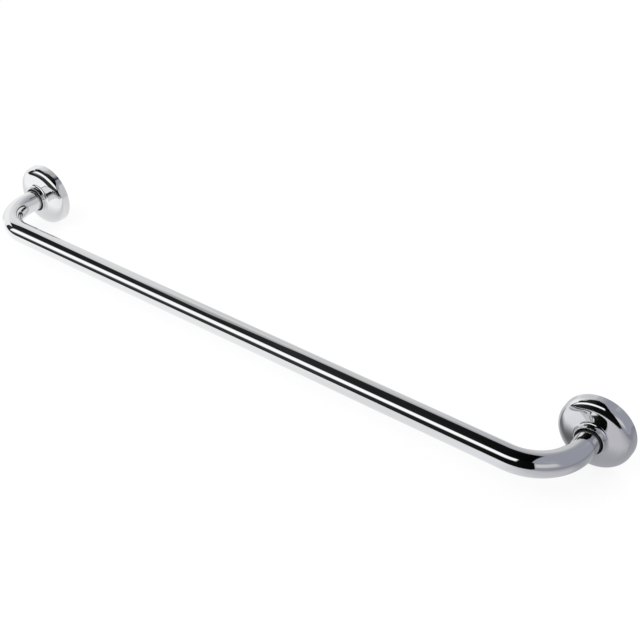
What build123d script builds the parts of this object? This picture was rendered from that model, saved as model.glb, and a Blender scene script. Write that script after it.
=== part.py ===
from build123d import *
import os
from math import cos, radians, sqrt, tan

# Chrome towel rail: a bent tube between two domed roses, each locked over a hidden wall plate.
# Frame: origin on the wall midway between the roses, X along the rail, Y into the wall, Z up.
# All lengths are in millimetres and all angles in degrees.

# Bent tube
tube_diameter = 20.0
tube_wall = 1.0
fixing_distance = 600.0     # between the axes of the two legs
rail_projection = 68.0      # from the wall to the rail's axis
bend_radius = 40.0          # on the tube's centre line

# Rose, outside
rose_diameter = 60.0
rim_draft = 0.2             # radius lost between the wall and the shoulder
shoulder_height = 8.9       # height at which the rim and the brow would meet if sharp
shoulder_radius = 6.0
brow_width = 5.8            # from the rim in to where the brow and the face would meet if sharp
brow_slope = 24.0
brow_radius = 15.0
face_slope = 9.5
cove_radius = 2.9           # hollow curve from the face up to the neck
neck_wall = 2.2
neck_height = 18.0
lip_width = 0.8             # flat end of the neck, outside the flared mouth
lip_radius = 0.3            # outer edge of the neck
mouth_radius = 0.5          # inner edge of the neck
mouth_depth = 3.6           # from the neck's end in to the socket

# Rose, inside
rim_wall = 3.2
face_wall = 2.5
hollow_corner_radius = 3.0
socket_depth = 9.0
socket_clearance = 0.1
stop_width = 1.5            # ring that the tube's end stands on
stop_thickness = 1.5

# Wall plate
plate_thickness = 5.0
plate_land = 1.0            # straight edge in front of the undercut
plate_clearance = 0.25
plate_edge_break = 0.4
screw_hole_diameter = 5.2
screw_head_diameter = 9.6
screw_spacing = 32.0

# Grub screw, a cone point screw under each rose
grub_diameter = 4.0
grub_height = 3.0           # from the wall to the screw's axis
grub_recess = 0.4           # below the rim's surface
grub_edge_break = 0.3
grub_key = 2.0              # across the flats of the key socket
grub_key_depth = 1.6
thread_clearance = 0.1
point_clearance = 0.1

# Sizes that follow from the ones above
tube_radius = tube_diameter / 2
rose_radius = rose_diameter / 2
rim_top_radius = rose_radius - rim_draft
brow_place = rim_top_radius - brow_width
brow_height = shoulder_height + brow_width * tan(radians(brow_slope))
socket_radius = tube_radius + socket_clearance
neck_radius = socket_radius + neck_wall
socket_floor = neck_height - socket_depth
cavity_radius = rim_top_radius - rim_wall
plate_radius = cavity_radius - plate_clearance
plate_back_radius = plate_radius - (plate_thickness - plate_land)


def face_height(radius):
    """Height of the rose's shallow face above the wall at a radius."""
    return brow_height + (brow_place - radius) * tan(radians(face_slope))


def ceiling_height(radius):
    """Height of the hollow's ceiling, one wall behind the face."""
    return face_height(radius) - face_wall / cos(radians(face_slope))


def turned(profile):
    """Solid of revolution about the leg's axis. Points are radius and height above the wall."""
    return revolve(make_face(profile), axis=Axis.Y)


def to_plane(points):
    """Radius and height pairs as points of the turning plane, with height away from the wall."""
    return [(radius, -height) for radius, height in points]


def make_tube():
    """Hollow tube swept along two legs, two bends and the straight rail."""
    leg_x = fixing_distance / 2
    path = FilletPolyline(
        (-leg_x, -socket_floor),
        (-leg_x, -rail_projection),
        (leg_x, -rail_projection),
        (leg_x, -socket_floor),
        radius=bend_radius,
    )
    section = Plane(origin=path @ 0, z_dir=path % 0) * (
        Circle(tube_radius) - Circle(tube_radius - tube_wall)
    )
    return sweep(section, path)


def rose_outline():
    """Visible outline: rim, rounded shoulder and brow, shallow face, cove, neck and flared mouth."""
    corners = [
        (rose_radius, 0),
        (rim_top_radius, shoulder_height),
        (brow_place, brow_height),
        (neck_radius, face_height(neck_radius)),
        (neck_radius, neck_height),
        (neck_radius - lip_width, neck_height),
        (socket_radius, neck_height - mouth_depth),
        (socket_radius, socket_floor),
    ]
    rounds = [shoulder_radius, brow_radius, cove_radius, lip_radius, mouth_radius, 0]
    return FilletPolyline(*to_plane(corners), radius=rounds)


def rose_hollow():
    """Hidden outline: stop ring, boss under the neck, ceiling and the wall round the plate."""
    stop_radius = socket_radius - stop_width
    boss_bottom = socket_floor - stop_thickness
    corners = [
        (socket_radius, socket_floor),
        (stop_radius, socket_floor),
        (stop_radius, boss_bottom),
        (neck_radius, boss_bottom),
        (neck_radius, ceiling_height(neck_radius)),
        (cavity_radius, ceiling_height(cavity_radius)),
        (cavity_radius, 0),
        (rose_radius, 0),
    ]
    rounds = [0, 0, 0, 0, hollow_corner_radius, 0]
    return FilletPolyline(*to_plane(corners), radius=rounds)


def make_rose():
    """Hollow rose with the tube's socket and a cross hole for the grub screw below."""
    body = turned(rose_outline() + rose_hollow())
    hole = Cylinder(
        grub_diameter / 2 + thread_clearance,
        rose_radius,
        align=(Align.CENTER, Align.CENTER, Align.MAX),
    )
    return body - Pos(0, -grub_height, -plate_back_radius) * hole


def make_plate():
    """Round plate with an undercut edge and two countersunk holes, one above the other."""
    corners = [
        (0, 0),
        (plate_back_radius, 0),
        (plate_radius, plate_thickness - plate_land),
        (plate_radius, plate_thickness - plate_edge_break),
        (plate_radius - plate_edge_break, plate_thickness),
        (0, plate_thickness),
    ]
    plate = turned(Polyline(*to_plane(corners), close=True))
    hole_radius = screw_hole_diameter / 2
    head_radius = screw_head_diameter / 2
    sink_depth = head_radius - hole_radius
    hole = turned(
        Polyline(
            *to_plane(
                [
                    (0, 0),
                    (hole_radius, 0),
                    (hole_radius, plate_thickness - sink_depth),
                    (head_radius, plate_thickness),
                    (0, plate_thickness),
                ]
            ),
            close=True,
        )
    )
    for side in (-1, 1):
        plate -= Pos(0, 0, side * screw_spacing / 2) * hole
    return plate


def make_grub_screw():
    """Cone point screw that points up, with its point against the plate's undercut."""
    thread_radius = grub_diameter / 2
    point_z = -(plate_back_radius + grub_height + point_clearance * sqrt(2))
    rim_radius = rose_radius - rim_draft * grub_height / shoulder_height
    head_z = -(rim_radius - grub_recess)
    outline = Polyline(
        (0, point_z),
        (thread_radius, point_z - thread_radius),
        (thread_radius, head_z + grub_edge_break),
        (thread_radius - grub_edge_break, head_z),
        (0, head_z),
        close=True,
    )
    screw = revolve(Plane.XZ * make_face(outline), axis=Axis.Z)
    key = Pos(0, 0, head_z) * RegularPolygon(grub_key / 2, 6, major_radius=False)
    return Pos(0, -grub_height, 0) * (screw - extrude(key, grub_key_depth))


def main():
    os.makedirs("parts", exist_ok=True)
    export_step(make_tube(), "parts/rail_tube.step")
    end_pieces = {"rose": make_rose(), "wall_plate": make_plate(), "grub_screw": make_grub_screw()}
    for side, leg_x in (("left", -fixing_distance / 2), ("right", fixing_distance / 2)):
        for name, piece in end_pieces.items():
            export_step(Pos(leg_x, 0, 0) * piece, f"parts/{side}_{name}.step")


main()
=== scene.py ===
# %% [markdown]
# A towel rail is a mirror bent into a handle: one chromed tube runs along the wall and turns back to it at
# both ends, where two turned roses hide the fixings. The solids come from the CAD model as a fixed frame, in
# metres. The origin is on the wall midway between the roses, X runs along the rail, Y goes into the wall and
# Z is up. Nothing here moves those solids: this script gives them skins, finishes, light and a camera.

import bpy
import numpy as np
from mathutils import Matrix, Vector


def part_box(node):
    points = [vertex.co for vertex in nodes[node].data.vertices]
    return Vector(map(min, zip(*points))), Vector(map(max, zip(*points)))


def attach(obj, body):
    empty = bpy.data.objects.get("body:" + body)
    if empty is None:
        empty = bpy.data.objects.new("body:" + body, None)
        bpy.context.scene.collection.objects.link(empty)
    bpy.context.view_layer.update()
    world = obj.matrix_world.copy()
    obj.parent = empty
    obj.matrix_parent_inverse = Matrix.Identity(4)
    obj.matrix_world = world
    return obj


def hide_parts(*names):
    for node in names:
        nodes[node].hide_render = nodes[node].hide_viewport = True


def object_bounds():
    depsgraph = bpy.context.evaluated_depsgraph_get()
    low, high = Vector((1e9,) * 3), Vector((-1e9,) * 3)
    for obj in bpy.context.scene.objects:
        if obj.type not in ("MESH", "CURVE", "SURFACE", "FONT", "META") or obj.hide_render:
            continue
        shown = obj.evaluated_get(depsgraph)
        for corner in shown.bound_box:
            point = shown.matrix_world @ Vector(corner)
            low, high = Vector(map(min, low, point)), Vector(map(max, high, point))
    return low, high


TENTHS = 4  # decimals of a metre, down to a tenth of a millimetre

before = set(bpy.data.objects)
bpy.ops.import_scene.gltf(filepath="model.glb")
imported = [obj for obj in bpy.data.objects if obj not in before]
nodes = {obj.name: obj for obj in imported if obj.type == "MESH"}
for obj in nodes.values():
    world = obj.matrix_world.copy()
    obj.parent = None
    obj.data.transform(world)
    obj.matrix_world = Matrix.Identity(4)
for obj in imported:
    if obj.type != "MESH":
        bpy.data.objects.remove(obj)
cad_low, cad_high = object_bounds()
scene = bpy.context.scene
print("solids:", sorted(nodes))
print("CAD box:", [round(v, TENTHS) for v in cad_low], [round(v, TENTHS) for v in cad_high])

# %% [markdown]
# The photograph looks down on the rail from the right, through a lens a little longer than normal. A camera
# in Blender looks along its own minus Z, so a tilt about X followed by a turn about Z gives any level view:
# the tilt is a right angle less the downward pitch, and the turn is the yaw away from the wall's normal.

# %% camera
CAMERA_PLACE = (0.50269, -0.61971, 0.54398)
CAMERA_YAW = 0.6401
CAMERA_PITCH = 0.6233
CAMERA_LENS = 61.93
SENSOR_WIDTH = 36.0
NEAREST_SEEN = 0.01

camera_data = bpy.data.cameras.new("camera")
camera_data.lens = CAMERA_LENS
camera_data.sensor_width = SENSOR_WIDTH
camera_data.clip_start = NEAREST_SEEN
camera = bpy.data.objects.new("camera", camera_data)
camera.location = CAMERA_PLACE
camera.rotation_euler = (np.pi / 2 - CAMERA_PITCH, 0.0, CAMERA_YAW)
scene.collection.objects.link(camera)
scene.camera = camera
scene.view_settings.view_transform = "Standard"
print("camera at", CAMERA_PLACE, "with a lens of", CAMERA_LENS, "mm")

# %% [markdown]
# A mirror forgives nothing. On a painted part the flat facets of a CAD mesh hide in the shading, but on
# polished chrome each one bends the reflection of the studio and breaks its edges into steps. So the tube and
# the roses get skins: fine grids of points, worked out from the same sizes as the solids, that stand for the
# CAD nodes. Where a size can be read from the frame it is read there, to a tenth of a millimetre, so a skin
# follows its solid.

# %% sizes of the rail
MM = 0.001


def half_size(node, axis):
    """Half the size of a CAD node along an axis, to a tenth of a millimetre."""
    low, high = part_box(node)
    return round((high[axis] - low[axis]) / 2, TENTHS)


def middle(node, axis):
    """Middle of a CAD node along an axis, to a tenth of a millimetre."""
    low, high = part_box(node)
    return round((high[axis] + low[axis]) / 2, TENTHS)


LEG_X = middle("right_rose", 0)
ROSE_RADIUS = half_size("right_rose", 2)
NECK_HEIGHT = 2 * half_size("right_rose", 1)
TUBE_RADIUS = half_size("rail_tube", 2)
PROJECTION = half_size("rail_tube", 1) - middle("rail_tube", 1) - TUBE_RADIUS
SOCKET_FLOOR = -half_size("rail_tube", 1) - middle("rail_tube", 1)
TUBE_WALL = 1.0 * MM
BEND_RADIUS = 40.0 * MM
print("legs at", LEG_X, "tube radius", TUBE_RADIUS, "projection", round(PROJECTION, TENTHS))
print("rose radius", ROSE_RADIUS, "neck height", NECK_HEIGHT, "socket floor", round(SOCKET_FLOOR, TENTHS))

# %% [markdown]
# Both skins have the same plan. A closed line of points is one way round, rings are the other way round, and
# the surface is a ring of rings, like a tyre. A few helpers turn such a grid into a mesh. They also unroll
# the surface into a UV map in which U goes once round a ring and V is the distance along the line in metres,
# so that a finish can follow the surface as a polishing mop does. One more number at each point says how far
# it is out of the mop's reach: 0 outside and 1 in the hollows, which stay dull on real plated work. The
# same number darkens the plate there, which is painted shade of the hollows and the mouth.

# %% from a grid to a skin
SHARP_EDGE = np.radians(40)


def grid_quads(rows, columns):
    """Quads of a grid closed both ways: each point, its right neighbour, and the same two in the next row."""
    index = np.arange(rows * columns).reshape(rows, columns)
    right = np.roll(index, -1, axis=1)
    return np.stack([index, right, np.roll(right, -1, axis=0), np.roll(index, -1, axis=0)], axis=-1)


def grid_unrolled(distance, columns):
    """UV of each quad's corners: U is the column's share of the ring, V the row's distance on the line."""
    rows = len(distance) - 1
    left = np.arange(columns) / columns
    u = np.stack([left, left + 1 / columns, left + 1 / columns, left], axis=-1)
    v = np.stack([distance[:-1], distance[:-1], distance[1:], distance[1:]], axis=-1)
    shape = (rows, columns, 4)
    return np.stack([np.broadcast_to(u, shape), np.broadcast_to(v[:, None], shape)], axis=-1)


def closed_distance(line):
    """Distance along a closed line of points, with one more entry for the way back to the start."""
    steps = np.linalg.norm(np.roll(line, -1, axis=0) - line, axis=1)
    return np.concatenate([[0.0], np.cumsum(steps)])


def new_skin(name, points, quads, unrolled, dull_and_shade):
    """A smooth mesh object from points, quads, the UV of each quad corner and each point's dullness and
    painted shade.
    """
    mesh = bpy.data.meshes.new(name)
    mesh.from_pydata(points.tolist(), [], quads.tolist())
    mesh.uv_layers.new(name="unrolled").data.foreach_set("uv", unrolled.astype(np.float32).ravel())
    mesh.attributes.new("dull_and_shade", "FLOAT", "POINT").data.foreach_set("value", dull_and_shade.astype(np.float32).ravel())
    mesh.shade_smooth()
    mesh.set_sharp_from_angle(angle=SHARP_EDGE)
    skin = bpy.data.objects.new(name, mesh)
    scene.collection.objects.link(skin)
    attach(skin, "root")
    print(name, len(points), "points", len(quads), "quads")
    return skin


print("edges over", round(np.degrees(SHARP_EDGE)), "degrees stay sharp on a skin")

# %% [markdown]
# The tube is drawn steel, bent cold round a former at both ends. A curve with a round bevel would draw it,
# but the tube is hollow and its ends stand open in the sockets, so a ring is carried along the centre line on
# the outside and back again along the bore. The centre line is two straight legs, two quarter circles and the
# rail.

# %% the bent tube
RING_COLUMNS = 160
BEND_ROWS = 112
RAIL_ROWS = 24
LEG_ROWS = 20
# Length before the neck over which the tube turns rougher and darker; the darker tone is painted shade.
DULL_AND_SHADE_LENGTH = 3.2 * MM


def centre_line():
    """Points and directions of the tube's axis: up a leg, round a bend, along the rail and back the same way.

    On the bend a point is the centre less the radius times (cos t, sin t), and the direction is
    (sin t, -cos t), for t from 0 to a right angle. The right half is the left half mirrored and run back."""
    turn = np.linspace(0, np.pi / 2, BEND_ROWS)
    bend_x = BEND_RADIUS * (1 - np.cos(turn)) - LEG_X
    bend_y = BEND_RADIUS * (1 - np.sin(turn)) - PROJECTION
    bend = np.stack([bend_x, bend_y], axis=1)
    bend_way = np.stack([np.sin(turn), -np.cos(turn)], axis=1)
    leg_y = np.linspace(-SOCKET_FLOOR, bend[0, 1], LEG_ROWS, endpoint=False)
    leg = np.stack([np.full(LEG_ROWS, -LEG_X), leg_y], axis=1)
    leg_way = np.tile([0.0, -1.0], (LEG_ROWS, 1))
    half = np.concatenate([leg, bend])
    half_way = np.concatenate([leg_way, bend_way])
    rail_x = np.linspace(bend[-1, 0], -bend[-1, 0], RAIL_ROWS)[1:-1]
    rail = np.stack([rail_x, np.full(len(rail_x), -PROJECTION)], axis=1)
    rail_way = np.tile([1.0, 0.0], (len(rail), 1))
    line = np.concatenate([half, rail, half[::-1] * [-1, 1]])
    way = np.concatenate([half_way, rail_way, half_way[::-1] * [1, -1]])
    level = np.zeros((len(line), 1))
    return np.hstack([line, level]), np.hstack([way, level])


def tube_skin():
    """Ring points are axis + radius * (cos a * up + sin a * side), where side is the direction turned level
    by a right angle. The outer radius goes out along the axis and the bore's radius comes back. The bore gets
    full dullness, and the outside gets rougher and darker over the last bit before the neck, where a mop
    can't
    go: the roughness is unpolished plate and the darkness is painted shade beside the neck."""
    line, way = centre_line()
    up = np.array([0.0, 0.0, 1.0])
    side = np.cross(way, up)[:, None]
    angle = np.linspace(0, 2 * np.pi, RING_COLUMNS, endpoint=False)[None, :, None]
    ring = np.cos(angle) * up + np.sin(angle) * side
    outside = line[:, None] + TUBE_RADIUS * ring
    bore = line[:, None] + (TUBE_RADIUS - TUBE_WALL) * ring
    grid = np.concatenate([outside, bore[::-1]])
    # Painted shade: the tube's outside darkens towards the neck, on top of a rougher finish.
    shade_near_neck = np.clip((line[:, 1] + NECK_HEIGHT) / DULL_AND_SHADE_LENGTH + 1, 0, 1)
    dull_and_shade = np.repeat(np.concatenate([shade_near_neck, np.ones(len(line))]), RING_COLUMNS)
    quads = grid_quads(len(grid), RING_COLUMNS)
    unrolled = grid_unrolled(closed_distance(np.concatenate([line, line[::-1]])), RING_COLUMNS)
    return new_skin("bent_tube", grid.reshape(-1, 3), quads.reshape(-1, 4), unrolled.reshape(-1, 2), dull_and_shade)


bent_tube = tube_skin()
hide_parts("rail_tube")

# %% [markdown]
# A rose is turned from bar on a lathe, so one outline carried round the leg's axis gives all of it. The
# outline is what a turner would draw: straight lines between corners, each corner cut back to the arc of its
# own radius. The rim rises from the wall, a shoulder and a wider brow bring it over to the shallow face, a
# cove lifts it to the neck, and the neck's mouth flares round the tube. Inside are the socket, a stop ring
# and the hollow for the plate.

# %% the outline of a rose
SHOULDER_HEIGHT = 8.9 * MM
RIM_DRAFT = 0.2 * MM
SHOULDER_RADIUS = 6.0 * MM
BROW_WIDTH = 5.8 * MM
BROW_SLOPE = np.radians(24.0)
BROW_RADIUS = 15.0 * MM
FACE_SLOPE = np.radians(9.5)
COVE_RADIUS = 2.9 * MM
SOCKET_CLEARANCE = 0.1 * MM
SOCKET_RADIUS = TUBE_RADIUS + SOCKET_CLEARANCE
NECK_WALL = 2.2 * MM
NECK_RADIUS = SOCKET_RADIUS + NECK_WALL
LIP_WIDTH = 0.8 * MM
LIP_RADIUS = 0.3 * MM
MOUTH_RADIUS = 0.5 * MM
MOUTH_DEPTH = 3.6 * MM
STOP_WIDTH = 1.5 * MM
STOP_RADIUS = SOCKET_RADIUS - STOP_WIDTH
STOP_THICKNESS = 1.5 * MM
RIM_WALL = 3.2 * MM
CAVITY_RADIUS = ROSE_RADIUS - RIM_DRAFT - RIM_WALL
FACE_WALL = 2.5 * MM
HOLLOW_CORNER_RADIUS = 3.0 * MM
EXACT_LINE_STEP = 0.1 * MM
EXACT_ARC_STEP = np.radians(0.2)


def arc_at(before, corner, after, radius, arc_step):
    """The arc of a radius that touches both sides of a corner, or the corner itself for radius 0.

    With unit directions a and b towards the neighbours and half the angle between them, the arc touches the
    sides at radius / tan(half) from the corner, and its centre is radius / sin(half) away along a + b."""
    if radius == 0:
        return corner[None]
    a = (before - corner) / np.linalg.norm(before - corner)
    b = (after - corner) / np.linalg.norm(after - corner)
    half = np.arccos(a @ b) / 2
    centre = corner + (a + b) / np.linalg.norm(a + b) * radius / np.sin(half)
    start = corner + a * radius / np.tan(half) - centre
    end = corner + b * radius / np.tan(half) - centre
    first = np.arctan2(start[1], start[0])
    sweep = (np.arctan2(end[1], end[0]) - first + np.pi) % (2 * np.pi) - np.pi
    turn = first + sweep * np.linspace(0, 1, int(np.ceil(abs(sweep) / arc_step)) + 1)
    return centre + radius * np.stack([np.cos(turn), np.sin(turn)], axis=1)


def rounded_outline(corners, radii, line_step, arc_step):
    """Arcs at the corners of a closed line, joined by straight runs of points about one step apart."""
    corners = np.asarray(corners)
    sides = zip(np.roll(corners, 1, axis=0), corners, np.roll(corners, -1, axis=0), radii)
    arcs = [arc_at(*side, arc_step) for side in sides]
    runs = []
    for arc, following in zip(arcs, arcs[1:] + arcs[:1]):
        gap = following[0] - arc[-1]
        share = np.linspace(0, 1, int(np.ceil(np.linalg.norm(gap) / line_step)) + 1)[1:-1, None]
        runs.append(np.concatenate([arc, arc[-1] + share * gap]))
    return np.concatenate(runs)


def rose_outline(line_step, arc_step):
    """Radius and height pairs of a rose's section: from the rim over the face and back through the hollow."""
    rim_top = ROSE_RADIUS - RIM_DRAFT
    brow_place = rim_top - BROW_WIDTH
    brow_height = SHOULDER_HEIGHT + BROW_WIDTH * np.tan(BROW_SLOPE)
    foot_height = brow_height + (brow_place - NECK_RADIUS) * np.tan(FACE_SLOPE)
    boss_bottom = SOCKET_FLOOR - STOP_THICKNESS
    ceiling = foot_height - FACE_WALL / np.cos(FACE_SLOPE)
    ceiling_end = ceiling - (CAVITY_RADIUS - NECK_RADIUS) * np.tan(FACE_SLOPE)
    corners_and_radii = [
        ((ROSE_RADIUS, 0), 0),
        ((rim_top, SHOULDER_HEIGHT), SHOULDER_RADIUS),
        ((brow_place, brow_height), BROW_RADIUS),
        ((NECK_RADIUS, foot_height), COVE_RADIUS),
        ((NECK_RADIUS, NECK_HEIGHT), LIP_RADIUS),
        ((NECK_RADIUS - LIP_WIDTH, NECK_HEIGHT), MOUTH_RADIUS),
        ((SOCKET_RADIUS, NECK_HEIGHT - MOUTH_DEPTH), 0),
        ((SOCKET_RADIUS, SOCKET_FLOOR), 0),
        ((STOP_RADIUS, SOCKET_FLOOR), 0),
        ((STOP_RADIUS, boss_bottom), 0),
        ((NECK_RADIUS, boss_bottom), 0),
        ((NECK_RADIUS, ceiling), 0),
        ((CAVITY_RADIUS, ceiling_end), HOLLOW_CORNER_RADIUS),
        ((CAVITY_RADIUS, 0), 0),
    ]
    corners, radii = zip(*corners_and_radii)
    return rounded_outline(corners, radii, line_step, arc_step)


exact_outline = rose_outline(EXACT_LINE_STEP, EXACT_ARC_STEP)
print("rose outline:", len(exact_outline), "points at a tenth of a millimetre")

# %% [markdown]
# Under the rim a small screw goes through the wall and locks the rose to its plate. A Boolean would cut that
# hole, but it leaves slivers that a mirror shows. Here the rows of both walls take the same heights beside
# the hole, a small window is left out of the grid, and rings of points shrink from the window's edge to the
# hole's circle. Two such patches, joined by a bore, close the shell again.

# %% rows of the rose
LINE_STEP = 0.6 * MM
ARC_STEP = np.radians(2.0)
SCREW_HEIGHT = -middle("right_grub_screw", 1)
HOLE_CLEARANCE = 0.1 * MM
HOLE_RADIUS = half_size("right_grub_screw", 0) + HOLE_CLEARANCE
WINDOW_MARGIN = 0.6 * MM
WINDOW_ROWS = 10
TOUCHING = 1e-6

window_low = SCREW_HEIGHT - HOLE_RADIUS - WINDOW_MARGIN
window_high = SCREW_HEIGHT + HOLE_RADIUS + WINDOW_MARGIN
window_heights = np.linspace(window_low, window_high, WINDOW_ROWS + 1)
wall_heights = np.concatenate([[0.0], window_heights])


def beside_window(outline):
    """Which points of an outline belong to the two walls below the window's top."""
    return (outline[:, 0] > CAVITY_RADIUS - TOUCHING) & (outline[:, 1] < window_high + TOUCHING)


rim_side = exact_outline[: np.argmax(exact_outline[:, 1])]


def rim_radius(height):
    """Radius of the outside of the rim at a height, read from the exact outline."""
    return np.interp(height, rim_side[:, 1], rim_side[:, 0])


coarse = rose_outline(LINE_STEP, ARC_STEP)
rim_rows = np.stack([rim_radius(wall_heights), wall_heights], axis=1)
cavity_rows = np.stack([np.full(len(wall_heights), CAVITY_RADIUS), wall_heights], axis=1)[::-1]
outline = np.concatenate([rim_rows, coarse[~beside_window(coarse)], cavity_rows])
window_mm = [round(height / MM, 2) for height in (window_low, window_high)]
print("rows of a rose:", len(outline), "with a window between the heights", window_mm, "mm")

# %% [markdown]
# A patch is a small job in point numbers. The numbers round the window are read off the grid, rings of new
# points run from that edge to the hole, and quads join each ring to the next. The rings lie on the wall that
# they close, so the patch can't be told from the wall round it.

# %% the patch round the hole
PATCH_RINGS = 5


def window_edge(index, first_row, columns):
    """Numbers of the grid points round the window: along its first row, up, along its last row and down."""
    rows = np.arange(first_row, first_row + WINDOW_ROWS + 1)
    there = index[rows[0], columns[:-1]]
    up = index[rows[:-1], columns[-1]]
    back = index[rows[-1], columns[:0:-1]]
    down = index[rows[:0:-1], columns[0]]
    return np.concatenate([there, up, back, down])


def patch_rings(edge, wall_radius):
    """Rings between a window's edge and the hole, as (across, height) pairs laid back on the wall.

    Each point moves in a straight line from the edge to the nearest point of the hole's circle, and its depth
    is the square root of the wall's radius squared less the distance across squared."""
    flat = np.stack([edge[:, 0], -edge[:, 1] - SCREW_HEIGHT], axis=1)
    circle = HOLE_RADIUS * flat / np.linalg.norm(flat, axis=1, keepdims=True)
    share = np.linspace(0, 1, PATCH_RINGS + 1)[1:, None, None]
    across, height = np.moveaxis(flat + share * (circle - flat), -1, 0)
    height = height + SCREW_HEIGHT
    depth = np.sqrt(wall_radius(height) ** 2 - across**2)
    return np.stack([across, -height, -depth], axis=-1)


def ring_quads(rings):
    """Quads between each ring of point numbers and the next."""
    ahead = np.roll(rings, -1, axis=1)
    return np.stack([rings[:-1], ahead[:-1], ahead[1:], rings[1:]], axis=-1).reshape(-1, 4)


print("a patch has", PATCH_RINGS, "rings round a hole of", round(2 * HOLE_RADIUS / MM, 1), "mm")

# %% [markdown]
# Now the outline goes round the axis, the window is cut, and the two patches and the bore are put in. The
# same function makes both roses, because the outline is the same on either leg.

# %% the two roses
ROSE_COLUMNS = 240
WINDOW_HALF_COLUMNS = 4
# The lip's share of dullness, which also darkens it as painted shade.
LIP_DULL_AND_SHADE = 0.85


def row_dullness_and_shade():
    """Dullness and painted shade of each row: 0 outside, inside from the lip's own to 1 by the square root of
    the depth.
    """
    inside = np.arange(len(outline)) > np.argmax(outline[:, 1])
    depth = np.clip((NECK_HEIGHT - outline[:, 1]) / MOUTH_DEPTH, 0, 1)
    return inside * (LIP_DULL_AND_SHADE + (1 - LIP_DULL_AND_SHADE) * np.sqrt(depth))


def rose_skin(name, leg_x):
    """A point is (radius * cos a, -height, radius * sin a), for each pair of the outline and each angle a,
    and the rose is then moved along X to its leg. Its lowest point is three quarters of the way round."""
    rows, columns = len(outline), ROSE_COLUMNS
    angle = np.linspace(0, 2 * np.pi, columns, endpoint=False)
    radius, height = outline[:, :1], outline[:, 1:]
    level = np.broadcast_to(-height, (rows, columns))
    grid = np.stack([radius * np.cos(angle), level, radius * np.sin(angle)], axis=-1).reshape(-1, 3)
    index = np.arange(rows * columns).reshape(rows, columns)
    lowest = 3 * columns // 4
    window = np.arange(lowest - WINDOW_HALF_COLUMNS, lowest + WINDOW_HALF_COLUMNS + 1)
    rim_edge = window_edge(index, 1, window)
    cavity_edge = window_edge(index, rows - 2 - WINDOW_ROWS, window)
    rim_rings = patch_rings(grid[rim_edge], rim_radius)
    cavity_rings = patch_rings(grid[cavity_edge], lambda h: np.full_like(h, CAVITY_RADIUS))
    points = np.concatenate([grid, rim_rings.reshape(-1, 3), cavity_rings.reshape(-1, 3)])
    rim_numbers = rows * columns + np.arange(PATCH_RINGS * len(rim_edge)).reshape(PATCH_RINGS, -1)
    cavity_numbers = rim_numbers + rim_numbers.size
    facing = np.roll(cavity_numbers[-1, ::-1], 1 - WINDOW_ROWS)
    patches = np.concatenate([
        ring_quads(np.concatenate([rim_edge[None], rim_numbers])),
        ring_quads(np.concatenate([cavity_edge[None], cavity_numbers])),
        ring_quads(np.stack([rim_numbers[-1], facing])),
    ])
    kept = np.ones((rows, columns), bool)
    kept[1 : 1 + WINDOW_ROWS, window[:-1]] = False
    kept[rows - 2 - WINDOW_ROWS : rows - 2, window[:-1]] = False
    quads = np.concatenate([grid_quads(rows, columns)[kept], patches])
    turn = (np.arctan2(points[:, 2], points[:, 0]) / (2 * np.pi)) % 1
    patch_unrolled = np.stack([turn[patches], -points[patches, 1]], axis=-1)
    unrolled = np.concatenate([grid_unrolled(closed_distance(outline), columns)[kept], patch_unrolled])
    # The patch inside the hollow gets full dullness, which darkens it as painted shade.
    patch_dull_and_shade = np.repeat([0.0, 1.0], [rim_numbers.size, cavity_numbers.size])
    dull_and_shade = np.concatenate([np.repeat(row_dullness_and_shade(), columns), patch_dull_and_shade])
    used, numbers = np.unique(quads, return_inverse=True)
    return new_skin(name, points[used] + [leg_x, 0, 0], numbers.reshape(quads.shape), unrolled, dull_and_shade[used])


leg_places = {"left": -LEG_X, "right": LEG_X}
roses = {side: rose_skin(f"{side}_turned_rose", leg_x) for side, leg_x in leg_places.items()}
for side, rose in roses.items():
    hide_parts(f"{side}_rose")

# %% [markdown]
# Chrome plate is not a perfect mirror. It sends back about seven tenths of the light and is a little blue, so
# every further bounce is darker, and that is what draws the dark lines in the cove and round the tube's
# mouth. Close to, the polish varies: a soft haze in patches, marks of the polishing mop that run round the
# piece, and a slow swell in the surface that makes long reflections waver. Where the mop can't reach, the
# plate stays rough and dull, and there it is also painted grey: painted shade that deepens the dark ring
# round the tube's mouth. Both chrome finishes share one node group for this, so first come a few short
# helpers for building with nodes.

# %% helpers for nodes
def add(tree, kind, **settings):
    """A new node with the given settings."""
    node = tree.nodes.new(kind)
    for key, value in settings.items():
        setattr(node, key, value)
    return node


def feed(tree, target, source):
    """Gives a node's input its value: another node's output is linked, and a number or colour is set."""
    if isinstance(source, bpy.types.NodeSocket):
        tree.links.new(source, target)
    else:
        target.default_value = source


def number(tree, operation, *operands):
    """The result of a Math node, whose operands are outputs of other nodes or plain numbers."""
    node = add(tree, "ShaderNodeMath", operation=operation)
    for target, operand in zip(node.inputs, operands):
        feed(tree, target, operand)
    return node.outputs[0]


def vector(tree, operation, first, second=None):
    """The result of a Vector Math node on one or two operands, as a vector."""
    node = add(tree, "ShaderNodeVectorMath", operation=operation)
    feed(tree, node.inputs[0], first)
    if second is not None:
        feed(tree, node.inputs[1], second)
    return node.outputs["Vector"]


print("helpers for nodes are ready")

# %% [markdown]
# A finish is mixed from a few things: noise that varies over the surface, a share of the way between two
# values, blends of two colours, and ramps through several. In the node editor each is one node with a few
# wires. A group is a box with named sockets round some of them, so two finishes can use the same wiring with
# their own values.

# %% helpers for noise, colours and groups
def noise(tree, place, scale, detail):
    """A Noise texture read at a place, from 0 to 1 and mostly near a half."""
    node = add(tree, "ShaderNodeTexNoise")
    for name, source in (("Vector", place), ("Scale", scale), ("Detail", detail)):
        feed(tree, node.inputs[name], source)
    return node.outputs["Fac"]


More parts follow.
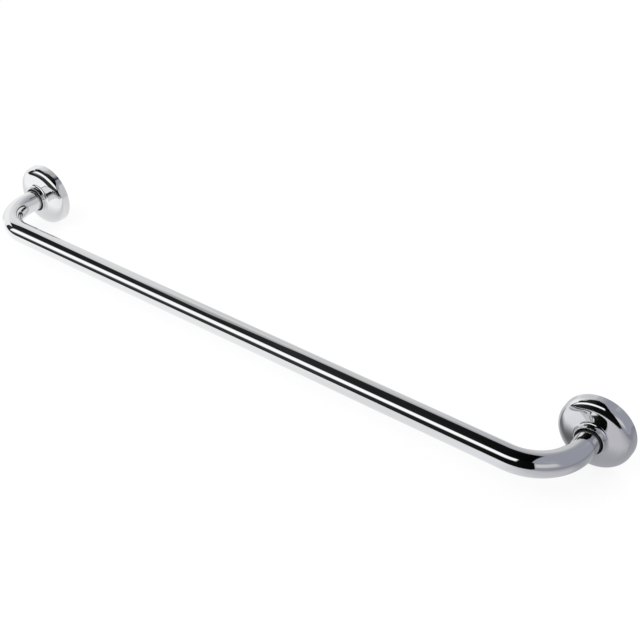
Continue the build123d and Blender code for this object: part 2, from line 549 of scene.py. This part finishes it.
def share_of(tree, source, start, end, interpolation="SMOOTHSTEP"):
    """A value's share of the way from start to end, held between 0 and 1, with soft ends unless LINEAR."""
    node = add(tree, "ShaderNodeMapRange", interpolation_type=interpolation)
    for target, value in zip(node.inputs[:3], (source, start, end)):
        feed(tree, target, value)
    return node.outputs[0]


def opaque(tone):
    """A tone as a colour with full cover. A plain number is a neutral grey."""
    return (*tone, 1.0) if isinstance(tone, tuple) else (tone, tone, tone, 1.0)


def blended(tree, share, first, second):
    """A colour on the way from one colour to another, which are outputs of other nodes or plain tones."""
    node = add(tree, "ShaderNodeMix", data_type="RGBA")
    for target, source in zip((node.inputs[0], node.inputs[6], node.inputs[7]), (share, first, second)):
        feed(tree, target, source if isinstance(source, bpy.types.NodeSocket) else opaque(source))
    return node.outputs[2]


def ramp(tree, share, tones):
    """A colour that follows a share through (place, tone) pairs, the first at 0 and the last at 1."""
    node = add(tree, "ShaderNodeValToRGB")
    feed(tree, node.inputs[0], share)
    stops = node.color_ramp.elements
    stops[0].color, stops[1].color = (opaque(tones[i][1]) for i in (0, -1))
    for place, tone in tones[1:-1]:
        stops.new(place).color = opaque(tone)
    node.color_ramp.interpolation = "EASE"
    return node.outputs["Color"]


def new_group(name, inputs, outputs):
    """An empty shader node group with named sockets, and its two end nodes."""
    group = bpy.data.node_groups.new(name, "ShaderNodeTree")
    for direction, sockets in (("INPUT", inputs), ("OUTPUT", outputs)):
        for title, kind in sockets.items():
            group.interface.new_socket(name=title, in_out=direction, socket_type=f"NodeSocket{kind}")
    return group, add(group, "NodeGroupInput").outputs, add(group, "NodeGroupOutput").inputs


print("helpers for finishes are ready")

# %% [markdown]
# The group reads three things: the place in space, the unrolled surface and the dullness of each point. Haze
# and marks are multiplied, so the marks only show where the haze is. The dull part is rougher and slightly
# grainy, and darker, which is painted shade.

# %% the chrome group
HAZE_SCALE, HAZE_DETAIL = 45.0, 3.0
MARK_SCALE, MARK_DETAIL = (5.0, 3500.0, 1.0), 2.0
SWELL_SCALE, SWELL_DETAIL = 160.0, 1.0
GRAIN_SCALE, GRAIN_DETAIL = 2600.0, 2.0
DULL_ROUGHNESS = 0.25
GRAIN_ROUGHNESS = 0.2
CHROME_WARM = (0.725, 0.728, 0.735)
CHROME_COOL = (0.695, 0.703, 0.718)
# The grey of the dull parts, which is painted shade in the mouth and on the tube beside it.
CHROME_DULL_AND_SHADE = (0.40, 0.40, 0.41)
FINISH_OUTPUTS = {"Colour": "Color", "Roughness": "Float", "Height": "Float"}


def chrome_group():
    """Colour is the warm and cool chrome blended by the haze, then the grey of painted shade by dullness.
    Roughness is gloss + haze * marks + dullness, where the duller part is a little grainy, and height is the
    swell."""
    places = dict.fromkeys(("Place", "Unrolled"), "Vector")
    values = dict.fromkeys(("Dull and shade", "Gloss", "Haze", "Swell"), "Float")
    group, given, made = new_group("chrome_plate", places | values, FINISH_OUTPUTS)
    patches = share_of(group, noise(group, given["Place"], HAZE_SCALE, HAZE_DETAIL), 0.0, 1.0)
    marks = noise(group, vector(group, "MULTIPLY", given["Unrolled"], MARK_SCALE), 1.0, MARK_DETAIL)
    swell = noise(group, given["Place"], SWELL_SCALE, SWELL_DETAIL)
    grain = number(group, "MULTIPLY", given["Dull and shade"], noise(group, given["Place"], GRAIN_SCALE, GRAIN_DETAIL))
    haze = number(group, "MULTIPLY", number(group, "MULTIPLY", patches, marks), given["Haze"])
    grainy = number(group, "MULTIPLY", grain, GRAIN_ROUGHNESS)
    matt = number(group, "MULTIPLY_ADD", given["Dull and shade"], DULL_ROUGHNESS, grainy)
    bright = blended(group, patches, CHROME_COOL, CHROME_WARM)
    feed(group, made["Colour"], blended(group, given["Dull and shade"], bright, CHROME_DULL_AND_SHADE))
    feed(group, made["Roughness"], number(group, "ADD", number(group, "ADD", given["Gloss"], haze), matt))
    feed(group, made["Height"], number(group, "MULTIPLY", swell, given["Swell"]))
    return group


chrome_plate = chrome_group()
print("node group", chrome_plate.name, "with", len(chrome_plate.nodes), "nodes")

# %% [markdown]
# The tube and the roses take that group with their own values: a long tube is polished on a belt and wavers a
# little more, a rose is spun against a mop and comes out glossier. A metal in the Principled shader needs
# only a colour, a roughness and a normal.

# %% chrome on the tube and the roses
SWELL_DEPTH = 3e-6


def metal(name):
    """A node material whose Principled shader is set to metal, with its node tree and that shader."""
    material = bpy.data.materials.new(name)
    material.use_nodes = True
    shader = material.node_tree.nodes["Principled BSDF"]
    shader.inputs["Metallic"].default_value = 1.0
    return material, material.node_tree, shader


def finish_from(tree, shader, made, depth):
    """Lets a group's colour, roughness and height drive a metal shader."""
    bump = add(tree, "ShaderNodeBump")
    bump.inputs["Distance"].default_value = depth
    feed(tree, bump.inputs["Height"], made["Height"])
    feed(tree, shader.inputs["Base Color"], made["Colour"])
    feed(tree, shader.inputs["Roughness"], made["Roughness"])
    feed(tree, shader.inputs["Normal"], bump.outputs["Normal"])


def chrome(name, gloss, haze, swell):
    """Chrome plate that reads a skin's place, its unrolled map and its dullness, which also paints shade."""
    material, tree, shader = metal(name)
    coordinates = add(tree, "ShaderNodeTexCoord").outputs
    # Each point's dullness brings painted shade as well as roughness.
    dull_and_shade = add(tree, "ShaderNodeAttribute", attribute_name="dull_and_shade").outputs["Fac"]
    plate = add(tree, "ShaderNodeGroup", node_tree=chrome_plate)
    feed(tree, plate.inputs["Place"], coordinates["Object"])
    feed(tree, plate.inputs["Unrolled"], coordinates["UV"])
    feed(tree, plate.inputs["Dull and shade"], dull_and_shade)
    feed(tree, plate.inputs["Gloss"], gloss)
    feed(tree, plate.inputs["Haze"], haze)
    feed(tree, plate.inputs["Swell"], swell)
    finish_from(tree, shader, plate.outputs, SWELL_DEPTH)
    return material


finishes = {
    "tube": chrome("polished_tube", gloss=0.02, haze=0.06, swell=1.0),
    "rose": chrome("polished_rose", gloss=0.015, haze=0.05, swell=0.5),
}
bent_tube.data.materials.append(finishes["tube"])
for rose in roses.values():
    rose.data.materials.append(finishes["rose"])
print("chrome on", bent_tube.name, "and", [rose.name for rose in roses.values()])

# %% [markdown]
# Behind each rose sits a zinc plated steel plate, and below it a stainless screw. Both were turned, so both
# show fine rings round their own axis. Rings need the distance from that axis. The legs stand at plus and
# minus the same X, so the absolute value of the place folds the left side on to the right, and one Mapping
# node centres both.

# %% turned steel
RING_SCALE = 1300.0
RING_DEPTH = 5e-5
RING_ROUGHNESS = 0.16
CLOUD_SCALE, CLOUD_DETAIL = 180.0, 4.0
CLOUD_ROUGHNESS = 0.14
ZINC, ZINC_CLOUD = (0.60, 0.61, 0.63), (0.50, 0.50, 0.47)
STAINLESS, STAINLESS_CLOUD = (0.62, 0.61, 0.60), (0.52, 0.51, 0.50)


def steel_group():
    """Rings are noise along the distance from the Z axis, and clouds are slow noise in space. Both change the
    roughness, the clouds change the colour, and the rings are the height."""
    inputs = {"Place": "Vector", "Clean": "Color", "Clouded": "Color", "Gloss": "Float"}
    group, given, made = new_group("turned_steel", inputs, FINISH_OUTPUTS)
    across = add(group, "ShaderNodeVectorMath", operation="LENGTH")
    feed(group, across.inputs[0], vector(group, "MULTIPLY", given["Place"], (1.0, 1.0, 0.0)))
    rings = add(group, "ShaderNodeTexNoise", noise_dimensions="1D")
    feed(group, rings.inputs["W"], across.outputs["Value"])
    feed(group, rings.inputs["Scale"], RING_SCALE)
    clouds = share_of(group, noise(group, given["Place"], CLOUD_SCALE, CLOUD_DETAIL), 0.0, 1.0)
    feed(group, made["Colour"], blended(group, clouds, given["Clean"], given["Clouded"]))
    cloudy = number(group, "MULTIPLY", clouds, CLOUD_ROUGHNESS)
    uneven = number(group, "MULTIPLY_ADD", rings.outputs["Fac"], RING_ROUGHNESS, cloudy)
    feed(group, made["Roughness"], number(group, "ADD", given["Gloss"], uneven))
    feed(group, made["Height"], rings.outputs["Fac"])
    return group


def steel(name, clean, clouded, gloss, centre, turn):
    """Turned steel whose rings run round an axis through a centre, once the turn has brought it along Z."""
    material, tree, shader = metal(name)
    folded = vector(tree, "ABSOLUTE", add(tree, "ShaderNodeTexCoord").outputs["Object"])
    centred = add(tree, "ShaderNodeMapping")
    centred.inputs["Rotation"].default_value = turn
    centred.inputs["Location"].default_value = [-c for c in centre]
    feed(tree, centred.inputs["Vector"], folded)
    turned = add(tree, "ShaderNodeGroup", node_tree=turned_steel)
    feed(tree, turned.inputs["Place"], centred.outputs["Vector"])
    feed(tree, turned.inputs["Clean"], opaque(clean))
    feed(tree, turned.inputs["Clouded"], opaque(clouded))
    feed(tree, turned.inputs["Gloss"], gloss)
    finish_from(tree, shader, turned.outputs, RING_DEPTH)
    return material


turned_steel = steel_group()
plate_axis = {"centre": (LEG_X, 0, 0), "turn": (np.pi / 2, 0, 0)}
screw_axis = {"centre": (LEG_X, SCREW_HEIGHT, 0), "turn": (0, 0, 0)}
finishes["plate"] = steel("zinc_plate", ZINC, ZINC_CLOUD, gloss=0.22, **plate_axis)
finishes["screw"] = steel("bare_screw", STAINLESS, STAINLESS_CLOUD, gloss=0.15, **screw_axis)
for name, node in nodes.items():
    finish = next(finishes[word] for word in finishes if word in name)
    for slot in node.material_slots:
        slot.material = finish
print("finishes:", sorted(material.name for material in finishes.values()))

# %% [markdown]
# What we see on chrome is the room. The reflections on the photographed rail read as a white table, black
# cards in front and above, one long light, a bright window side on the left and dim grey walls elsewhere. All
# but the table are cards here that only reflections can see. A card's tone is the one that the chrome shows,
# so the card is made brighter by what the chrome loses. A card may have several tones along its first side,
# because a wall is never lit evenly.

# %% how a card is made
CHROME_SHINE = 0.71


def mixed(tree, share, first, second):
    """One shader blended into another by a share."""
    node = add(tree, "ShaderNodeMixShader")
    for target, source in zip(node.inputs, (share, first, second)):
        feed(tree, target, source)
    return node.outputs[0]


def light_for_chrome(tree, tone):
    """Light that has the wanted tone after one bounce off the chrome."""
    node = add(tree, "ShaderNodeEmission")
    node.inputs["Strength"].default_value = 1 / CHROME_SHINE
    feed(tree, node.inputs["Color"], tone)
    return node.outputs[0]


def empty_material(name):
    """A node material without any nodes yet, and its node tree."""
    material = bpy.data.materials.new(name)
    material.use_nodes = True
    material.node_tree.nodes.clear()
    return material, material.node_tree


def sheet(name, corners, material):
    """A flat sheet with four corners, whose UV map goes from 0 to 1 along its first and its last side."""
    mesh = bpy.data.meshes.new(name)
    mesh.from_pydata(corners, [], [(0, 1, 2, 3)])
    mesh.uv_layers.new(name="sheet").data.foreach_set("uv", [0, 0, 1, 0, 1, 1, 0, 1])
    mesh.materials.append(material)
    piece = bpy.data.objects.new(name, mesh)
    scene.collection.objects.link(piece)
    return piece


def card_edge(tree, share, start, end, soft):
    """1 over most of a card and 0 at both ends of its side from start to end, over a soft margin."""
    length = np.linalg.norm(np.subtract(end, start))
    near = number(tree, "MINIMUM", share, number(tree, "SUBTRACT", 1.0, share))
    return share_of(tree, number(tree, "MULTIPLY", near, length / soft), 0.0, 1.0)


def studio_card(name, corners, tones, soft_across, soft_upright, one_sided=False):
    """A sheet that only reflections see, soft at the edges, with its tones spread from corner 0 to corner 1.

    A one-sided card is clear from behind."""
    material, tree = empty_material(name)
    place = add(tree, "ShaderNodeSeparateXYZ")
    feed(tree, place.inputs[0], add(tree, "ShaderNodeTexCoord").outputs["UV"])
    across = card_edge(tree, place.outputs["X"], corners[0], corners[1], soft_across)
    up = card_edge(tree, place.outputs["Y"], corners[0], corners[3], soft_upright)
    cover = number(tree, "MULTIPLY", across, up)
    if one_sided:
        behind = add(tree, "ShaderNodeNewGeometry").outputs["Backfacing"]
        cover = number(tree, "MULTIPLY", cover, number(tree, "SUBTRACT", 1.0, behind))
    clear = add(tree, "ShaderNodeBsdfTransparent").outputs[0]
    shown = mixed(tree, cover, clear, light_for_chrome(tree, ramp(tree, place.outputs["X"], tones)))
    feed(tree, add(tree, "ShaderNodeOutputMaterial").inputs["Surface"], shown)
    piece = sheet(name, corners, material)
    piece.visible_camera = False
    piece.visible_diffuse = False
    piece.visible_shadow = False
    return piece


print("a card's tone is divided by", CHROME_SHINE)

# %% [markdown]
# The black cards and the light are placed so that their edges fall where they do on the photographed rail. A
# round bar draws a long thin picture of all that is in front of it, so each stripe on it tells the height of
# one edge: the black card's foot on the table, the lower and upper edge of the light, and the far edge of the
# cover on top. The covers and the feet lie level, each a hair apart from the next, so that no two share a
# plane.

# %% black cards and the long light
FRONT_Y = -0.52
FRONT_LEFT, FRONT_RIGHT = -2.0, 0.59
FRONT_FOOT_Z = -0.043
FRONT_SOFT = (0.01, 0.01)
COVER_Z = 0.68
COVER_NEAR_Y = -0.66
COVER_GAP = 1.0 * MM
FRONT_TOP_Z = COVER_Z + 0.02
FLOOR_Z = cad_low.z - 0.5 * MM
FOOT_Z = FLOOR_Z + 0.5 * MM
FOOT_NEAR_Y = -0.53
FOOT_GAP = 0.1 * MM
LIGHT_Y = FRONT_Y + 4.0 * MM
LIGHT_GAP = 1.0 * MM
LIGHT_SOFT = (0.04, 0.14)


def upright(y, *places):
    """Corners of a card that stands across Y, from X and Z pairs."""
    return [(x, y, z) for x, z in places]


def flat(z, *places):
    """Corners of a card that lies level, from X and Y pairs."""
    return [(x, y, z) for x, y in places]


def rectangle(left, right, low, high):
    """The four places round a rectangle, from the lower left."""
    return [(left, low), (right, low), (right, high), (left, high)]


def level_cards(rows, near_y, z, gap):
    """Level cards one gap apart. A row has the two ends of the near edge, the far right and far left corner,
    the tones and the two soft margins."""
    made = []
    for step, (name, (near_ends, far_right, far_left, *look)) in enumerate(rows.items()):
        near_left, near_right = ((x, near_y) for x in near_ends)
        corners = flat(z + step * gap, near_left, near_right, far_right, far_left)
        made.append(studio_card(name, corners, *look))
    return made


front_tones = [(0, 0.026), (0.70, 0.030), (0.78, 0.012), (0.83, 0.004), (1, 0.002)]
black_tones = [(0, 0.012), (1, 0.018)]
fading_tones = [(0, 0.022), (0.5, 0.013), (1, 0.005)]
deep_tones = [(0, 0.005), (1, 0.001)]
light_tones = [(0, 0.93), (0.5, 0.97), (1, 0.92)]
covers = {
    "far_cover": ((-1.45, -0.86), (-0.86, 0.12), (-1.45, -0.06), black_tones, 0.04, 0.08),
    "left_cover": ((-0.96, -0.46), (-0.46, -0.02), (-0.96, 0.15), black_tones, 0.04, 0.08),
    "step_cover": ((-0.56, -0.33), (-0.33, 0.27), (-0.56, -0.18), black_tones, 0.02, 0.08),
    "middle_cover": ((-0.36, 0.10), (0.05, 0.53), (-0.36, 0.30), fading_tones, 0.02, 0.10),
    "right_cover": ((0.0, 0.61), (0.25, 0.26), (0.0, 0.49), deep_tones, 0.02, 0.06),
}
feet = {
    "left_foot": ((-1.3, -0.17), (-0.17, -0.19), (-1.3, -0.16), black_tones, 0.03, 0.03),
    "middle_foot": ((-0.24, 0.07), (0.07, -0.30), (-0.24, -0.18), black_tones, 0.03, 0.03),
    "right_foot": ((0.0, 0.55), (0.41, -0.26), (0.0, -0.28), fading_tones, 0.03, 0.03),
}
lights = {
    "left_light": [(-1.08, -0.005), (-0.36, 0.12), (-0.36, 0.66), (-1.08, 0.54)],
    "right_light": [(-0.48, 0.10), (0.31, 0.275), (0.31, 0.67), (-0.48, 0.66)],
}
front_corners = upright(FRONT_Y, *rectangle(FRONT_LEFT, FRONT_RIGHT, FRONT_FOOT_Z, FRONT_TOP_Z))
cards = [studio_card("front_card", front_corners, front_tones, *FRONT_SOFT)]
cards += level_cards(covers, COVER_NEAR_Y, COVER_Z, -COVER_GAP)
cards += level_cards(feet, FOOT_NEAR_Y, FOOT_Z, FOOT_GAP)
for step, (name, places) in enumerate(lights.items()):
    cards.append(studio_card(name, upright(LIGHT_Y + step * LIGHT_GAP, *places), light_tones, *LIGHT_SOFT))
print("dark cards and lights:", [piece.name for piece in cards])

# %% [markdown]
# The rest of the room is dim and soft. The near end of the rail shows a blue grey wall on its right and the
# far end a paler one, the ceiling gets brighter towards the window on the left, and a pale screen stands
# behind the camera. The paler wall is a small card that only the far rose sees: it is clear from behind, so
# the rail looks through it. A soft shade hangs over the covers, where the photographed rail goes from white
# to black by degrees. The left and back walls go up past the ceiling, so that no dark seam shows in the
# corner.

# %% walls and ceiling
DIM = (0.276, 0.285, 0.327)
PALE = (0.35, 0.35, 0.36)
LEFT_X, RIGHT_X = -2.2, 0.7
BACK_Y = 1.4
RIGHT_TOP_Z = 1.03
CEILING_Z = 1.04
WALL_TOP_Z = 1.13
SHADE_Z = COVER_Z + 0.01
END_X = -0.15
WALL_SOFT = (0.05, 0.05)
RIGHT_SOFT = (0.2, 0.2)
SCREEN_SOFT = (0.18, 0.18)
SHADE_SOFT = (0.12, 0.65)
END_SOFT = (0.01, 0.04)


def sideways(x, *places):
    """Corners of a card that stands across X, from Y and Z pairs."""
    return [(x, y, z) for y, z in places]


ceiling_tones = [
    (0, 0.73), (0.36, 0.63), (0.44, 0.52), (0.55, (0.39, 0.39, 0.41)), (0.69, DIM), (0.79, DIM), (1, PALE),
]
right_tones = [(0, DIM), (0.47, DIM), (0.66, PALE), (1, (0.40, 0.40, 0.41))]
back_tones = [
    (0, 0.72), (0.22, 0.66), (0.48, 0.53), (0.61, 0.53), (0.68, (0.41, 0.41, 0.42)), (1, (0.42, 0.42, 0.44)),
]
left_tones = [(0, 0.82), (1, 0.80)]
screen_tones = [(0, 0.55), (1, 0.50)]
shade_tones = [(0, 0.34), (1, 0.28)]
end_tones = [(0, 0.50), (0.65, 0.52), (0.85, 0.37), (1, 0.36)]
ceiling_corners = flat(CEILING_Z, *rectangle(LEFT_X, 1.3, -0.5, BACK_Y))
right_corners = sideways(RIGHT_X, *rectangle(-0.25, BACK_Y, FLOOR_Z, RIGHT_TOP_Z))
back_corners = upright(BACK_Y, *rectangle(LEFT_X, RIGHT_X, FLOOR_Z, WALL_TOP_Z))
left_corners = sideways(LEFT_X, *rectangle(-1.4, 1.5, FLOOR_Z, WALL_TOP_Z))
screen_corners = [(0.66, -0.80, 0.13), (1.2, -0.25, 0.13), (1.2, -0.25, 0.78), (0.66, -0.80, 0.78)]
shade_corners = flat(SHADE_Z, *rectangle(-0.70, -0.22, -0.50, 0.62))
end_corners = sideways(END_X, (-0.05, FLOOR_Z), (-0.05, 0.06), (0.42, 0.34), (0.42, FLOOR_Z))
walls = [
    studio_card("ceiling_card", ceiling_corners, ceiling_tones, *WALL_SOFT),
    studio_card("right_card", right_corners, right_tones, *RIGHT_SOFT),
    studio_card("back_card", back_corners, back_tones, *WALL_SOFT),
    studio_card("left_card", left_corners, left_tones, *WALL_SOFT),
    studio_card("screen_card", screen_corners, screen_tones, *SCREEN_SOFT),
    studio_card("shade_card", shade_corners, shade_tones, *SHADE_SOFT),
    studio_card("end_card", end_corners, end_tones, *END_SOFT, one_sided=True),
]
print("walls:", [piece.name for piece in walls])

# %% [markdown]
# The rail lies on a plain white table. To the camera the table is white paper with a faint shadow, so most of
# its light is its own and only part comes from the lamp and the sky. In the chrome the table has the tones
# that it had under the long light: bright in front, greyer behind, dim past the right end, and dark in the
# rail's own shadow, which falls on the table a little behind the rail, away from the light.

# %% the table
WHITE = (1.0, 1.0, 1.0, 1.0)
PAPER_GLOW = 0.84
TABLE_HALF = 30.0
TABLE_LEFT, TABLE_RIGHT = -0.35, 0.55
TABLE_FRONT, TABLE_BACK = -0.06, 0.03
SHADOW_Y = -0.027
SHADOW_HALF = 0.027
SHADOW_TONE = 0.0

paper_front = [
    (0, 0.87), (0.12, 0.79), (0.39, 0.78), (0.54, 0.68), (0.64, (0.70, 0.70, 0.715)),
    (0.74, (0.47, 0.465, 0.49)), (0.84, (0.33, 0.33, 0.35)), (1, (0.22, 0.225, 0.25)),
]
paper_back = [
    (0, 0.66), (0.39, 0.58), (0.64, (0.46, 0.46, 0.48)),
    (0.74, (0.30, 0.305, 0.325)), (1, (0.215, 0.22, 0.245)),
]
shadow_depth = [(0, 0.18), (0.3, 0.40), (0.66, 0.80), (0.69, 0.80), (0.735, 0.22), (1, 0.0)]


def chrome_table(tree):
    """The table's tone in the chrome: front and back tones that follow X, blended over Y, less the shadow."""
    place = add(tree, "ShaderNodeSeparateXYZ")
    feed(tree, place.inputs[0], add(tree, "ShaderNodeTexCoord").outputs["Object"])
    x, y = place.outputs["X"], place.outputs["Y"]
    along = share_of(tree, x, TABLE_LEFT, TABLE_RIGHT, "LINEAR")
    behind = share_of(tree, y, TABLE_FRONT, TABLE_BACK)
    lit = blended(tree, behind, ramp(tree, along, paper_front), ramp(tree, along, paper_back))
    off = number(tree, "ABSOLUTE", number(tree, "SUBTRACT", y, SHADOW_Y))
    band = share_of(tree, off, SHADOW_HALF, 0.0)
    return blended(tree, number(tree, "MULTIPLY", band, ramp(tree, along, shadow_depth)), lit, SHADOW_TONE)


def split_view(tree, seen_directly, seen_in_chrome):
    """One shader for what the camera and the paper see, and another for what the chrome sees."""
    in_chrome = add(tree, "ShaderNodeLightPath").outputs["Is Glossy Ray"]
    return mixed(tree, in_chrome, seen_directly, seen_in_chrome)


paper, tree = empty_material("table")
glow = add(tree, "ShaderNodeEmission")
lit_paper = add(tree, "ShaderNodeBsdfDiffuse")
lit_paper.inputs["Color"].default_value = WHITE
white_paper = mixed(tree, 1 - PAPER_GLOW, glow.outputs[0], lit_paper.outputs[0])
table_view = split_view(tree, white_paper, light_for_chrome(tree, chrome_table(tree)))
feed(tree, add(tree, "ShaderNodeOutputMaterial").inputs["Surface"], table_view)
table = sheet("table", flat(FLOOR_Z, *rectangle(-TABLE_HALF, TABLE_HALF, -TABLE_HALF, TABLE_HALF)), paper)
print("table at", round(FLOOR_Z, TENTHS))

# %% [markdown]
# The sky is white to the camera and to the table. In the chrome it is the dim ceiling between the cards. One
# large lamp in front, which reflections don't see, gives the shadow its direction.

# %% sky and lamp
LAMP_PLACE = (-0.35, -0.9, 1.3)
LAMP_SIZE = (1.2, 0.6)
LAMP_POWER = 6.0

world = bpy.data.worlds.new("studio")
scene.world = world
world.use_nodes = True
tree = world.node_tree
sky = tree.nodes["Background"]
sky.inputs["Color"].default_value = WHITE
dim_sky = add(tree, "ShaderNodeBackground")
dim_sky.inputs["Color"].default_value = opaque(DIM)
dim_sky.inputs["Strength"].default_value = 1 / CHROME_SHINE
sky_view = split_view(tree, sky.outputs[0], dim_sky.outputs[0])
feed(tree, tree.nodes["World Output"].inputs["Surface"], sky_view)

lamp_data = bpy.data.lights.new("front_lamp", "AREA")
lamp_data.shape = "RECTANGLE"
lamp_data.size, lamp_data.size_y = LAMP_SIZE
lamp_data.energy = LAMP_POWER
lamp = bpy.data.objects.new("front_lamp", lamp_data)
lamp.location = LAMP_PLACE
lamp_x, lamp_y, lamp_z = LAMP_PLACE
lamp.rotation_euler = (np.arctan2(-lamp_y, lamp_z), 0.0, np.arctan2(-lamp_x, lamp_y) + np.pi)
lamp.visible_glossy = False
scene.collection.objects.link(lamp)
print("lamp at", LAMP_PLACE, "of", LAMP_POWER, "W")
